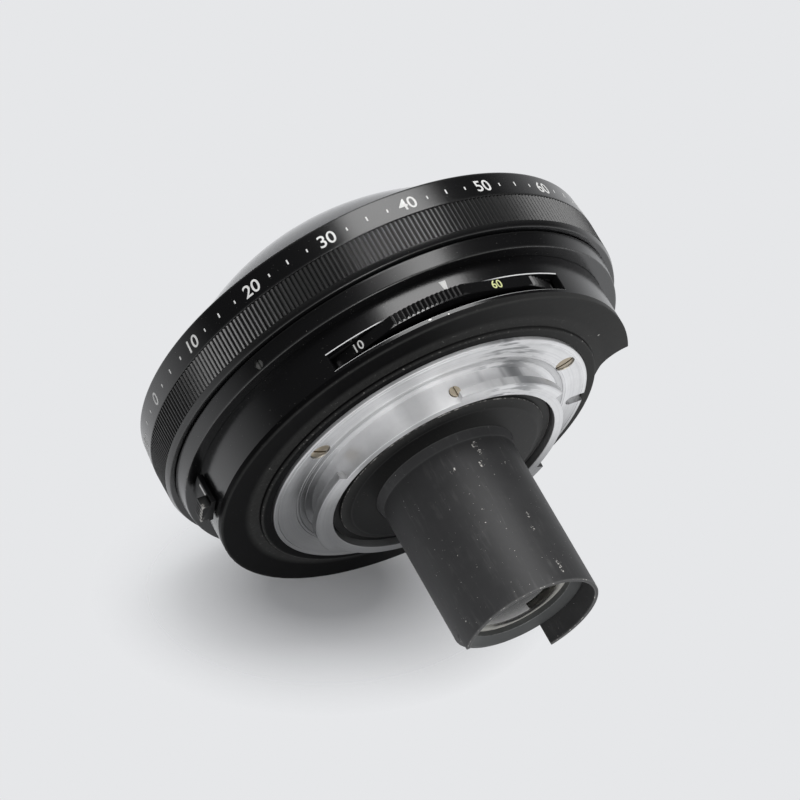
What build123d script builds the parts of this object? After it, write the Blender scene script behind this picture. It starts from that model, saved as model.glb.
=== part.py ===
from build123d import *
from math import asin, cos, degrees, radians, sin
import os

os.makedirs("parts", exist_ok=True)

# Millimetres. +Y is the optical axis and points to the camera, +Z points at the index mark, and the
# origin is the centre of the mount flange's face. Angles run from +X towards +Z.

# Stations along the axis, from the front to the rear
front_y = -24.9
band_y = -19.94
knurl_y = -14.56
lip_y = -13.49
shoulder_y = -13.28
step_y = -10.4
body_y = -1.7
boss_y = -0.6
flange_y = 0
spigot_y = 4.6
tube_y = 35.5

# Clearances and the overrun of every cut
slip = 0.05
running = 0.05
gap = 0.3
over = 1.0

# Outside radii, each one step outside the last, from the rear tube to the grip
tube_r = 12.03
foot_step = 0.47
tube_foot_r = tube_r + foot_step
floor_w = 4.5
floor_flat_r = tube_foot_r + floor_w
floor_slope_w = 1.6
floor_r = floor_flat_r + floor_slope_w
floor_gap = 1.7
bayonet_bore = floor_r + floor_gap
spigot_wall = 1.6
spigot_r = bayonet_bore + spigot_wall
lug_step = 1.5
lug_r = spigot_r + lug_step
face_step = 6.87
flange_r = spigot_r + face_step
rim_step = 1.93
boss_r = flange_r + rim_step
plate_step = 6.7
body_r = boss_r + plate_step
cell_step = 1.2
cell_r = body_r + cell_step
ring_step = 2.3
ring_rear_r = body_r + ring_step
ring_taper = 0.4
ring_front_r = ring_rear_r + ring_taper
grip_wall = 2.8
band_r = cell_r + grip_wall
lip_drop = 0.38
lip_r = band_r - lip_drop
bezel_taper = 0.44
front_r = band_r - bezel_taper

# Front glass and its cell
dome_r = 47.3
dome_y = 5.1
glass_wall = 1.1
glass_r = cell_r - glass_wall
ledge_step = 0.6
ledge_r = glass_r - ledge_step
ledge_y = -23.6
seat_y = -19.9
bowl_r = 21.0
bowl_y = -16.2
cell_wall = 2.2
plate_t = 2.5
cell_tube_r = 20.2
cell_spigot_y = -11.2
cell_rear_y = -10.7
cell_lip_r = 12.0
cell_lip_t = 1.1
pocket_r = 16.5
bowl_mouth_r = 20.7
second_front_y = -16.5
second_rear_y = -14.4
third_front_y = -13.6
second_bend = 45.0
second_back_bend = -40.0
third_bend = 40.0
third_back_bend = 200.0
third_mouth = 11.5
keeper_bore = 14.4

# Grip
rib_count = 322
rib_depth = 0.3
grip_bore = cell_r + slip

# Stepped ring and its grub screws
ring_bore = body_r + slip
grub_r = 0.78
grub_angle = 41.7
grub_y = -11.5
grub_sink = 0.12
grub_slot = 0.3
grub_slot_depth = 0.5
third_turn = 120

# Barrel, window and cut-out
barrel_front_wall = 2.4
barrel_front_bore = body_r - barrel_front_wall
cell_spigot_r = barrel_front_bore - slip
barrel_wall = 1.4
barrel_bore = body_r - barrel_wall
grub_inner_r = barrel_bore + gap
bulkhead_y = -7.3
bulkhead_t = 0.55
barrel_rear_y = -2.9
window_front_y = -6.7
window_rear_y = -3.55
window_mid_angle = 90
window_half_angle = 33.8
slot_front_y = -9.75
slot_rear_y = -8.55
cutout_from_angle = 167.9
cutout_to_angle = 234.0
cutout_r = boss_r + gap
cutout_floor_y = bulkhead_y
cutout_floor_t = 0.6
cutout_bend = 6.64
cutout_bend_angle = 160.0
cutout_bend_step = 0.09
cutout_bend_r = body_r + cutout_bend_step
cutout_centre_angle = 178.1
cutout_wall = 1.7
cutout_margin = 3.0
cutout_seam = 0.6
edge_round = 0.4

# Rear plate and boss
plate_bore = boss_r + slip
plate_lip_t = 0.5
plate_lip_w = 1.75
plate_lip_bore = barrel_bore - slip - plate_lip_w
fillet_top_r = boss_r + gap
fillet_w = 2.0
fillet_foot_r = fillet_top_r + fillet_w
fillet_top_y = -1.3
boss_bevel = 0.35
boss_top_r = boss_r - boss_bevel
boss_foot_w = 2.8
boss_foot_r = boss_r + boss_foot_w
boss_foot_y = -3.6
recess_y = -1.9

# Bayonet
flange_bevel = 0.25
lug_front_y = 3.1
lug_start_angles = (-33.0, 88.0, 208.0)
lug_arc = 60.0
groove_steps = (1.3, 2.3, 2.8)
groove_w = 0.12
groove_d = 0.1
bead_inset = 0.77
bead_r = flange_r - bead_inset
notch_angle = 181
notch_step = 3.4
notch_r = spigot_r + notch_step
notch_w = 2.3
notch_d = 1.2
mount_screw_step = 4.1
mount_screw_r = spigot_r + mount_screw_step
mount_screw_angle = 30.1
screw_head_r = 1.7
screw_shank_r = 0.9
screw_cone_t = 0.85
screw_end_y = -3.4
screw_slot = 0.45
screw_slot_depth = 0.5
stop_angle = 87.8
stop_y = 2.5
stop_head_r = 0.95
stop_shank_r = 0.55
stop_proud = 0.3
stop_sunk = 0.6

# Inner housing and rear tube
floor_edge_y = 3.9
floor_rim_y = 3.4
floor_rim_r = bayonet_bore - gap
floor_y = 4.8
tube_taper_y = 6.4
tube_front_y = -4.1
tube_flange_w = 0.5
tube_flange_r = tube_foot_r + tube_flange_w
boss_bore_gap = 0.4
boss_bore = tube_flange_r + boss_bore_gap
tube_wall = 1.43
tube_bore = tube_r - tube_wall
tail_wall = 0.67
tube_tail_bore = tube_r - tail_wall
tube_seat_y = 29.9
tube_lip_w = 3.2
tube_lip_bore = tube_bore - tube_lip_w
tube_lip_y = -3.0
end_notch_y = 31.4
end_notch_from_angle = -118.0
end_notch_to_angle = -1.0
rear_keeper_w = 1.81
rear_keeper_r = tube_tail_bore - slip - rear_keeper_w
rear_keeper_y = 31.8
rear_keeper_face_y = 30.85

# Rear glasses, by the station of each rim
rear_glass_r = tube_bore - slip
lens_four = (-3.0, 1.0)
doublet_y = (9.0, 12.5, 16.0)
last_lens = (24.8, tube_seat_y)
lens_four_bends = (-24.0, 30.0)
doublet_bends = (-26.0, 18.0, 40.0)
last_bends = (24.0, 27.0)
spacer_wall = 1.15
spacer_bore = rear_glass_r - spacer_wall
mouth_share = 0.82

# Iris
iris_wall_r = 14.4
iris_bore = 13.2
iris_base_t = 0.45
iris_hole = 5.3
pivot_r = 9.8
pivot_pin_r = 0.45
drive_pin_r = 0.4
drive_lead_angle = 15.0
blade_inner_r = 4.8
blade_outer_r = 8.4
blade_tab_r = 10.7
blade_from_angle = -12.0
blade_to_angle = 122.0
tab_from_angle = -7.0
tab_to_angle = 22.0
blade_t = 0.12
blade_pitch = 0.16
blade_count = 6
blade_turn = 18.0
lever_turn = 30.0
over_turn = 1.2
cam_points = 24
drive_front_y = -9.5
drive_rear_y = -8.8
drive_bore = 5.7
pin_front_y = -9.4
cover_front_y = -10.0
cover_rear_y = -9.6
cover_bore = 7.0
iris_gate_from_angle = -46.0
iris_gate_to_angle = 9.0

# Lever
lever_angle = -3.0
arm_w = 4.2
finger_r = body_r + gap
finger_t = 0.8
finger_outer_r = finger_r + finger_t
finger_rear_y = -4.1
finger_from_angle = -7.3
finger_to_angle = 1.7
knob_front_y = -6.2
knob_w = 4.5
knob_h = 1.4
knob_r = finger_outer_r + knob_h
knob_rib_count = 5
knob_rib_depth = 0.28
knob_rib_gap_share = 0.45
arm_slot_margin = 0.8

# Filter wheel
wheel_z = 13.46
wheel_proud = 1.66
wheel_r = body_r + wheel_proud - wheel_z
wheel_front_y = -6.5
wheel_rear_y = -4.55
wheel_bevel = 0.25
knurl_arc = 28.0
wheel_ribs = 15
wheel_rib_depth = 0.28
wheel_rest_angle = 10.2
filter_count = 6
filter_r = 6.0
filter_window_r = 5.3
filter_seat_y = -6.0
filter_t = 0.9
hub_r = 2.0
hub_floor_y = -5.3
axle_head_r = 3.4
axle_head_y = -4.6
axle_nut_r = 3.2
axle_slot = 0.7
axle_slot_depth = 0.3
detent_inset = 3.3
detent_r = wheel_r - detent_inset
detent_angle = 110
dimple_r = 0.9
dimple_depth = 0.4
plunger_r = 0.7
spring_t = 0.25
spring_w = 2.4
spring_l = 9.0
spring_screw_r = 1.1
spring_screw_head = 0.4
spring_shank_r = 0.55
turn = 360
quarter_angle = turn / 4


def turned(*points):
    """Turn a closed profile of (radius, y) points about the lens axis."""
    return revolve(Polygon(*points, align=None), Axis.Y)


def ring(outer, inner, front, rear):
    return turned((inner, front), (outer, front), (outer, rear), (inner, rear))


def rod(radius, front, rear, x=0, z=0):
    body = Cylinder(radius, rear - front, align=(Align.CENTER, Align.CENTER, Align.MIN))
    return Pos(x, front, z) * Rot(-90, 0, 0) * body


def spun(body, angle):
    """Carry a body made at +X round to an angle from +X towards +Z."""
    return Rot(0, -angle, 0) * body


def sector(outer, inner, front, rear, start, stop):
    profile = Polygon((inner, front), (outer, front), (outer, rear), (inner, rear), align=None)
    return spun(revolve(profile, Axis.Y, stop - start), stop)


def radial_rod(radius, inner, outer, y, angle):
    body = Cylinder(radius, outer - inner, align=(Align.CENTER, Align.CENTER, Align.MIN))
    return spun(Pos(inner, y, 0) * Rot(0, 90, 0) * body, angle)


def slab(sketch, front, rear):
    """Thicken a sketch drawn in X and Z between two stations."""
    face = Plane(origin=(0, rear, 0), x_dir=(1, 0, 0), z_dir=(0, -1, 0))
    return extrude(face * sketch, amount=rear - front)


def block(x_size, y_size, z_size, x, y, z):
    return Pos(x, y, z) * Box(x_size, y_size, z_size)


def polar(radius, angle):
    return radius * cos(radians(angle)), radius * sin(radians(angle))


def wedge(radius, start, stop):
    steps = 6
    arc = [polar(radius, start + (stop - start) * i / steps) for i in range(steps + 1)]
    return Polygon((0, 0), *arc, align=None)


def glass(rim, front, rear, front_bend, rear_bend, front_mouth=None, rear_mouth=None):
    """One glass with a flat rim: a positive bend bulges out, a negative one is hollow."""
    body = rod(rim, front, rear)
    for y, bend, mouth, way in ((front, front_bend, front_mouth, 1), (rear, rear_bend, rear_mouth, -1)):
        mouth = mouth or rim * mouth_share
        size = abs(bend)
        depth = size - (size ** 2 - mouth ** 2) ** 0.5
        if bend > 0:
            cap = Pos(0, y + way * (size - depth), 0) * Sphere(size)
            body += cap & rod(mouth, min(y, y - way * depth), max(y, y - way * depth))
        else:
            body -= Pos(0, y - way * (size - depth), 0) * Sphere(size)
    return body


def save(body, name):
    body.label = name
    export_step(body, f"parts/{name}.step")


# Front group
def front_element():
    body = Pos(0, dome_y, 0) * Sphere(dome_r)
    body &= rod(glass_r, dome_y - dome_r - over, seat_y)
    body -= Pos(0, bowl_y, 0) * Sphere(bowl_r)
    return body - ring(glass_r + over, ledge_r, front_y - over, ledge_y)


def front_bezel():
    lip_bore = ledge_r + slip
    bore = cell_r + slip
    return turned((lip_bore, front_y), (front_r, front_y), (band_r, band_y), (bore, band_y),
                  (bore, ledge_y), (lip_bore, ledge_y))


def front_cell():
    wall_r = glass_r + slip
    plate_rear = seat_y + plate_t
    lip_front = cell_rear_y - cell_lip_t
    spigot_bore = cell_spigot_r - cell_wall
    return turned(
        (wall_r, ledge_y), (cell_r, ledge_y), (cell_r, shoulder_y), (cell_spigot_r, shoulder_y),
        (cell_spigot_r, cell_spigot_y), (spigot_bore, cell_spigot_y), (spigot_bore, plate_rear),
        (cell_tube_r, plate_rear), (cell_tube_r, cell_rear_y), (cell_lip_r, cell_rear_y),
        (cell_lip_r, lip_front), (pocket_r, lip_front), (pocket_r, plate_rear),
        (bowl_mouth_r, seat_y), (wall_r, seat_y))


def front_glasses():
    rim = pocket_r - slip
    keeper_front = seat_y + plate_t
    third_rear_y = cell_rear_y - cell_lip_t
    save(glass(rim, second_front_y, second_rear_y, second_bend, second_back_bend), "second_element")
    save(glass(rim, third_front_y, third_rear_y, third_bend, third_back_bend,
               rear_mouth=third_mouth), "third_element")
    save(ring(rim, keeper_bore, keeper_front, second_front_y), "second_retainer")
    save(ring(rim, keeper_bore + over, second_rear_y, third_front_y), "front_spacer")


def toothed(radius, depth, start, stop, count):
    """Points of straight ribs round an arc, two to a rib."""
    step = (stop - start) / count
    points = []
    for i in range(count):
        points += [polar(radius, start + step * i), polar(radius - depth, start + step * (i + 0.5))]
    return points


def grip_ring():
    ribs = toothed(band_r, rib_depth, 0, turn, rib_count)
    body = slab(Polygon(*ribs, align=None) - Circle(grip_bore), band_y, knurl_y)
    body += turned((grip_bore, knurl_y), (band_r, knurl_y), (lip_r, lip_y), (grip_bore, lip_y))
    return body


def cone_ring():
    body = turned((ring_bore, shoulder_y), (ring_front_r, shoulder_y), (ring_rear_r, step_y),
                  (ring_bore, step_y))
    for k in range(3):
        angle = grub_angle + third_turn * k
        body -= radial_rod(grub_r, ring_bore - over, ring_front_r + over, grub_y, angle)
    return body


def grub_screws():
    top = ring_rear_r - grub_sink
    for k in range(3):
        body = radial_rod(grub_r, grub_inner_r, top, grub_y, 0)
        body -= block(grub_slot_depth * 2, grub_r * 3, grub_slot, top, grub_y, 0)
        save(spun(body, grub_angle + third_turn * k), f"grub_screw_{k + 1}")


# Body
def cutout():
    """Space of the cut-out: a sector outside the boss with a round corner at one end."""
    body = sector(body_r + over, cutout_r, cutout_floor_y, body_y + over, cutout_centre_angle,
                  cutout_to_angle)
    x, z = polar(cutout_bend_r, cutout_centre_angle)
    round_cut = rod(cutout_bend, cutout_floor_y, body_y + over, x, z)
    round_cut &= sector(body_r + over, cutout_r, cutout_floor_y, body_y + over,
                        cutout_bend_angle, cutout_to_angle)
    return body + round_cut


def main_barrel():
    body = turned((barrel_front_bore, shoulder_y), (body_r, shoulder_y), (body_r, barrel_rear_y),
                  (barrel_bore, barrel_rear_y), (barrel_bore, bulkhead_y),
                  (barrel_front_bore, bulkhead_y))
    body += sector(barrel_bore + slip, cutout_r - cutout_wall, cutout_floor_y - cutout_floor_t,
                   boss_foot_y, cutout_from_angle - cutout_margin, cutout_to_angle + cutout_margin)
    body -= cutout()
    start = window_mid_angle - window_half_angle
    stop = window_mid_angle + window_half_angle
    body -= sector(body_r + over, barrel_bore - over, window_front_y, window_rear_y, start, stop)
    half_arm = degrees(asin(arm_w / 2 / barrel_front_bore)) + arm_slot_margin
    body -= sector(body_r + over, barrel_front_bore - over, slot_front_y, slot_rear_y,
                   lever_angle - lever_turn - half_arm, lever_angle + half_arm)
    for k in range(3):
        angle = grub_angle + third_turn * k
        body -= radial_rod(grub_r, grub_inner_r, body_r + over, grub_y, angle)
    return body


def bulkhead():
    rear = bulkhead_y + bulkhead_t
    body = ring(barrel_bore - slip, iris_hole + over, bulkhead_y, rear)
    edge = cutout_margin + cutout_seam
    body -= sector(body_r, cutout_r - cutout_wall - gap, bulkhead_y - over, rear + over,
                   cutout_from_angle - edge, cutout_to_angle + edge)
    body -= rod(hub_r, bulkhead_y - over, rear + over, 0, wheel_z)
    x, z = detent_place()
    body -= rod(plunger_r + slip, bulkhead_y - over, rear + over, x, z)
    x, z = spring_end()
    return body - rod(spring_shank_r, bulkhead_y - over, rear + over, x, z)


def rear_plate():
    profile = Polygon((plate_bore, barrel_rear_y), (body_r, barrel_rear_y), (body_r, body_y),
                      (fillet_foot_r, body_y), (fillet_top_r, fillet_top_y),
                      (plate_bore, fillet_top_y), align=None)
    corner = profile.vertices().sort_by_distance((body_r, body_y, 0))[0]
    body = revolve(fillet(corner, edge_round), Axis.Y)
    body += ring(barrel_bore - slip, plate_lip_bore, barrel_rear_y - plate_lip_t,
                 barrel_rear_y + slip)
    return body - cutout()


def mount_boss():
    body = turned(
        (boss_bore, boss_foot_y), (boss_foot_r, boss_foot_y), (boss_foot_r, barrel_rear_y),
        (boss_r, barrel_rear_y), (boss_r, boss_y - boss_bevel), (boss_top_r, boss_y),
        (flange_r + slip, boss_y), (flange_r + slip, recess_y), (boss_bore, recess_y))
    body -= cutout()
    for k in range(3):
        x, z = polar(mount_screw_r, mount_screw_angle + third_turn * k)
        body -= rod(screw_shank_r, boss_foot_y - over, boss_y, x, z)
    return body


def screw_cone(x, z):
    cone = Cone(screw_shank_r, screw_head_r, screw_cone_t,
                align=(Align.CENTER, Align.CENTER, Align.MIN))
    return Pos(x, flange_y - screw_cone_t, z) * Rot(-90, 0, 0) * cone


def bayonet_mount():
    body = turned(
        (bayonet_bore, recess_y), (flange_r, recess_y), (flange_r, flange_y - flange_bevel),
        (flange_r - flange_bevel, flange_y), (spigot_r, flange_y), (spigot_r, spigot_y),
        (bayonet_bore, spigot_y))
    for start in lug_start_angles:
        body += sector(lug_r, spigot_r - over, lug_front_y, spigot_y, start, start + lug_arc)
    for radius in [spigot_r + step for step in groove_steps] + [bead_r]:
        body -= ring(radius, radius - groove_w, flange_y - groove_d, flange_y + over)
    notch = rod(notch_w / 2, flange_y - notch_d, flange_y + over, notch_r + notch_w / 2, 0)
    length = flange_r - notch_r
    notch += block(length, notch_d + over, notch_w, notch_r + notch_w / 2 + length / 2,
                   (over - notch_d) / 2, 0)
    body -= spun(notch, notch_angle)
    for k in range(3):
        x, z = polar(mount_screw_r, mount_screw_angle + third_turn * k)
        body -= rod(screw_shank_r, recess_y - over, flange_y, x, z) + screw_cone(x, z)
    body -= radial_rod(stop_shank_r, bayonet_bore - over, spigot_r + over, stop_y, stop_angle)
    return body - radial_rod(stop_head_r, spigot_r - stop_sunk, spigot_r + over, stop_y, stop_angle)


def mount_screws():
    for k in range(3):
        body = rod(screw_shank_r, screw_end_y, flange_y - screw_cone_t, mount_screw_r, 0)
        body += screw_cone(mount_screw_r, 0)
        body -= block(screw_head_r * 3, screw_slot_depth * 2, screw_slot, mount_screw_r, flange_y, 0)
        save(spun(body, mount_screw_angle + third_turn * k), f"mount_screw_{k + 1}")


def stop_screw():
    top = spigot_r + stop_proud
    body = radial_rod(stop_head_r, spigot_r - stop_sunk, top, stop_y, 0)
    body += radial_rod(stop_shank_r, bayonet_bore, spigot_r, stop_y, 0)
    body -= block(stop_proud * 2, stop_head_r * 3, grub_slot, top, stop_y, 0)
    return spun(body, stop_angle)


def inner_housing():
    bore = tube_foot_r + slip
    return turned((bore, recess_y), (floor_rim_r, recess_y), (floor_rim_r, floor_rim_y),
                  (floor_r, floor_rim_y), (floor_r, floor_edge_y), (floor_flat_r, spigot_y),
                  (bore, floor_y))


def rear_tube():
    body = turned(
        (tube_lip_bore, tube_front_y), (tube_flange_r, tube_front_y), (tube_flange_r, boss_foot_y),
        (tube_foot_r, boss_foot_y), (tube_foot_r, floor_y), (tube_r, tube_taper_y),
        (tube_r, tube_y), (tube_tail_bore, tube_y), (tube_tail_bore, tube_seat_y),
        (tube_bore, tube_seat_y), (tube_bore, tube_lip_y), (tube_lip_bore, tube_lip_y))
    return body - sector(tube_r + over, tube_tail_bore - over, end_notch_y, tube_y + over,
                         end_notch_from_angle, end_notch_to_angle)


# Rear glasses
def rear_glasses():
    rim = rear_glass_r
    first, middle, last = doublet_y
    outer_bend, joint_bend, back_bend = doublet_bends
    save(glass(rim, *lens_four, *lens_four_bends), "rear_lens_front")
    four_top = lens_four[1]
    save(ring(rim, spacer_bore, four_top, first), "long_spacer")
    save(glass(rim, first, middle, outer_bend, joint_bend, rear_mouth=rim), "doublet_front")
    save(glass(rim, middle, last, -joint_bend, back_bend, front_mouth=rim), "doublet_rear")
    save(ring(rim, spacer_bore, last, last_lens[0]), "rear_spacer")
    save(glass(rim, *last_lens, *last_bends, rear_mouth=rear_keeper_r - slip), "rear_element")


def rear_retainer():
    return turned((rear_keeper_r, tube_seat_y), (tube_tail_bore - slip, tube_seat_y),
                  (tube_tail_bore - slip, rear_keeper_y), (rear_keeper_r, rear_keeper_face_y))


# Iris
def iris_housing():
    base_front = bulkhead_y - iris_base_t
    body = ring(iris_wall_r, iris_hole, base_front, bulkhead_y)
    body += ring(iris_wall_r, iris_bore, cover_rear_y, base_front)
    body -= sector(iris_wall_r + over, iris_bore - over, cover_rear_y - over, base_front,
                   iris_gate_from_angle, iris_gate_to_angle)
    stack = blade_pitch * blade_count
    for k in range(blade_count):
        x, z = polar(pivot_r, turn / blade_count * k)
        body += rod(pivot_pin_r, base_front - stack, base_front, x, z)
    return body


def iris_blades():
    base_front = bulkhead_y - iris_base_t
    arc = Circle(blade_outer_r) - Circle(blade_inner_r)
    leaf = arc & wedge(pivot_r * 2, blade_from_angle, blade_to_angle)
    tab = Circle(blade_tab_r) - Circle(blade_outer_r - slip)
    leaf += tab & wedge(pivot_r * 2, tab_from_angle, tab_to_angle)
    leaf -= Pos(pivot_r, 0) * Circle(pivot_pin_r + running)
    x, z = polar(pivot_r, drive_lead_angle)
    for k in range(blade_count):
        rear = base_front - blade_pitch * k - (blade_pitch - blade_t)
        body = slab(leaf, rear - blade_t, rear)
        body += rod(drive_pin_r, pin_front_y, rear, x, z)
        save(spun(body, turn / blade_count * k), f"iris_blade_{k + 1}")


def cam_slot():
    """Slot that the drive pin follows, drawn in the turning drive ring."""
    pin_x, pin_z = polar(pivot_r, drive_lead_angle)
    arm_x = pin_x - pivot_r
    path = []
    for i in range(cam_points + 1):
        swing = -over_turn + (blade_turn + over_turn * 2) * i / cam_points
        x = pivot_r + arm_x * cos(radians(swing)) - pin_z * sin(radians(swing))
        z = arm_x * sin(radians(swing)) + pin_z * cos(radians(swing))
        back = radians(swing * lever_turn / blade_turn)
        path.append((x * cos(back) - z * sin(back), x * sin(back) + z * cos(back)))
    half = drive_pin_r + running
    left, right = [], []
    for i, (x, z) in enumerate(path):
        x_a, z_a = path[max(i - 1, 0)]
        x_b, z_b = path[min(i + 1, cam_points)]
        run = ((x_b - x_a) ** 2 + (z_b - z_a) ** 2) ** 0.5
        across = (z_a - z_b) / run * half, (x_b - x_a) / run * half
        left.append((x + across[0], z + across[1]))
        right.append((x - across[0], z - across[1]))
    slot = Polygon(*left, *reversed(right), align=None)
    for x, z in (path[0], path[-1]):
        slot += Pos(x, z) * Circle(half)
    return slot


def aperture_ring():
    disc = Circle(iris_bore - running) - Circle(drive_bore)
    slot = cam_slot()
    for k in range(blade_count):
        disc -= Rot(0, 0, turn / blade_count * k) * slot
    return slab(disc, drive_front_y, drive_rear_y)


def lever_arm():
    length = finger_outer_r - slip
    body = block(length, drive_rear_y - drive_front_y - slip * 2, arm_w, length / 2,
                 (drive_rear_y + drive_front_y) / 2, 0)
    body = spun(body, lever_angle)
    body += sector(finger_outer_r, finger_r, drive_front_y, finger_rear_y, finger_from_angle, finger_to_angle)
    return body - rod(iris_bore - running, drive_front_y - over, drive_rear_y + over)


def lever_knob():
    depth = finger_rear_y - knob_front_y
    mid_y = (finger_rear_y + knob_front_y) / 2
    height = knob_r - finger_r
    body = block(height, depth, knob_w, finger_r + height / 2, mid_y, 0)
    pitch = knob_w / knob_rib_count
    for k in range(knob_rib_count - 1):
        z = (k + 1 - knob_rib_count / 2) * pitch
        body -= block(knob_rib_depth * 2, depth + over, pitch * knob_rib_gap_share, knob_r, mid_y, z)
    body = spun(body, lever_angle)
    return body - rod(finger_outer_r, knob_front_y - over, finger_rear_y + over)


# Filter wheel, drawn about its own centre and then lifted to its axle
def wheel_spot(radius, angle):
    """Place on the wheel at rest, with the angle taken from +Z towards +X."""
    return radius * sin(radians(angle)), wheel_z + radius * cos(radians(angle))


def detent_place():
    return wheel_spot(detent_r, detent_angle)


def spring_end():
    x, z = detent_place()
    return x, z + spring_l - spring_w


def filter_wheel():
    step = turn / filter_count
    outline = []
    for k in range(filter_count):
        mid = quarter_angle - wheel_rest_angle + step * k
        start, stop = mid - knurl_arc / 2, mid + knurl_arc / 2
        outline += toothed(wheel_r, wheel_rib_depth, start, stop, wheel_ribs)
        outline.append(polar(wheel_r, stop))
    disc = slab(Polygon(*outline, align=None), wheel_front_y, wheel_rear_y)
    disc &= turned((0, wheel_front_y), (wheel_r, wheel_front_y), (wheel_r, wheel_rear_y - wheel_bevel),
                   (wheel_r - wheel_bevel, wheel_rear_y), (0, wheel_rear_y))
    body = Pos(0, 0, wheel_z) * disc
    for k in range(filter_count):
        x, z = wheel_spot(wheel_z, 180 + step * k)
        body -= rod(filter_window_r, wheel_front_y - over, wheel_rear_y + over, x, z)
        body -= rod(filter_r + slip, filter_seat_y, wheel_rear_y + over, x, z)
        x, z = wheel_spot(detent_r, detent_angle + step * k)
        drop = (dimple_r ** 2 - (dimple_r - dimple_depth) ** 2) ** 0.5
        body -= Pos(x, wheel_front_y - dimple_r + dimple_depth, z) * Sphere(dimple_r)
    body -= rod(hub_r + running, wheel_front_y - over, wheel_rear_y + over, 0, wheel_z)
    return body - rod(axle_head_r + gap, hub_floor_y, wheel_rear_y + over, 0, wheel_z)


def filters():
    glass_rear = filter_seat_y + filter_t
    for k in range(filter_count):
        x, z = wheel_spot(wheel_z, 180 + turn / filter_count * k)
        save(rod(filter_r, filter_seat_y, glass_rear, x, z), f"filter_glass_{k + 1}")
        keeper = rod(filter_r, glass_rear, wheel_rear_y, x, z)
        keeper -= rod(filter_window_r, glass_rear - over, wheel_rear_y + over, x, z)
        save(keeper, f"filter_keeper_{k + 1}")


def wheel_axle():
    head_front = hub_floor_y + slip
    body = rod(hub_r, bulkhead_y, head_front, 0, wheel_z)
    body += rod(axle_head_r, head_front, axle_head_y, 0, wheel_z)
    collar_rear = wheel_front_y - slip
    collar = rod(axle_nut_r, bulkhead_y + bulkhead_t, collar_rear, 0, wheel_z)
    body += collar
    return body - block(axle_head_r * 3, axle_slot_depth * 2, axle_slot, 0, axle_head_y, wheel_z)


def detent():
    x, z = detent_place()
    save(rod(plunger_r, bulkhead_y, wheel_front_y - slip, x, z), "detent_plunger")
    top = bulkhead_y - spring_t
    end_x, end_z = spring_end()
    leaf = block(spring_w, spring_t, spring_l, x, bulkhead_y - spring_t / 2, (z + end_z) / 2)
    save(leaf - rod(spring_shank_r, top - over, bulkhead_y + over, end_x, end_z), "detent_spring")
    screw = rod(spring_shank_r, top, bulkhead_y + bulkhead_t, end_x, end_z)
    save(screw + rod(spring_screw_r, top - spring_screw_head, top, end_x, end_z), "spring_screw")


def iris_cover():
    return ring(iris_wall_r, cover_bore, cover_front_y, cover_rear_y)


for maker in (front_element, front_bezel, front_cell, grip_ring, cone_ring, main_barrel, bulkhead,
              rear_plate, mount_boss, bayonet_mount, stop_screw, inner_housing, rear_tube,
              rear_retainer, iris_housing, iris_cover, aperture_ring, lever_arm, lever_knob,
              filter_wheel, wheel_axle):
    save(maker(), maker.__name__)
front_glasses()
grub_screws()
mount_screws()
rear_glasses()
iris_blades()
filters()
detent()
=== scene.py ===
import bpy
import bmesh
import math
from mathutils import Matrix, Vector


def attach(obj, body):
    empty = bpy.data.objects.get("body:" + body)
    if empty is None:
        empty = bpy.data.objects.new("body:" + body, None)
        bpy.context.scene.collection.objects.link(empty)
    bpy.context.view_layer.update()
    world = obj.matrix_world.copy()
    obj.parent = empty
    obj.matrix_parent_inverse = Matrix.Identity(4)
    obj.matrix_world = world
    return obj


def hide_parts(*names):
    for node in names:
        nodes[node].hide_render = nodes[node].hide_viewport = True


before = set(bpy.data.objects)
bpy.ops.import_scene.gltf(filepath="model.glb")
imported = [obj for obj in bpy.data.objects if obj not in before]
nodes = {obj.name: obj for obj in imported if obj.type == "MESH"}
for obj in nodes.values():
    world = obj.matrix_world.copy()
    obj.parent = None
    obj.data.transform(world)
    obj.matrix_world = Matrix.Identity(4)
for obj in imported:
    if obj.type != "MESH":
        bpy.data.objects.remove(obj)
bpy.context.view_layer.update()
mm = 0.001
print("frame loaded, nodes:", len(nodes))


# node helpers
def addNode(tree, kind, settings=None, sockets=None, output=0):
    # a new node with its settings and inputs, given back as one of its output sockets
    node = tree.nodes.new(kind)
    for key, value in (settings or {}).items():
        setattr(node, key, value)
    for key, value in (sockets or {}).items():
        if isinstance(value, Sock):
            tree.links.new(value.socket, node.inputs[key])
        else:
            node.inputs[key].default_value = value
    return Sock(tree, node.outputs[output])


class Sock:
    # an output socket that takes plain arithmetic
    def __init__(self, tree, socket):
        self.tree, self.socket = tree, socket

    def join(self, operation, *parts):
        return addNode(self.tree, "ShaderNodeMath", {"operation": operation}, dict(enumerate(parts)))

    def __add__(self, other):
        return self.join("ADD", self, other)

    def __radd__(self, other):
        return self.join("ADD", other, self)

    def __sub__(self, other):
        return self.join("SUBTRACT", self, other)

    def __rsub__(self, other):
        return self.join("SUBTRACT", other, self)

    def __mul__(self, other):
        return self.join("MULTIPLY", self, other)

    def __rmul__(self, other):
        return self.join("MULTIPLY", other, self)

    def __truediv__(self, other):
        return self.join("DIVIDE", self, other)

    def __pow__(self, other):
        return self.join("POWER", self, other)

    def atLeast(self, other):
        return self.join("MAXIMUM", self, other)

    def clamped(self):
        return self.join("MINIMUM", self.join("MAXIMUM", self, 0.0), 1.0)

    def ramped(self, low, high):
        # 0 below low, 1 above high
        return ((self - low) * (1.0 / (high - low))).clamped()


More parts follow.
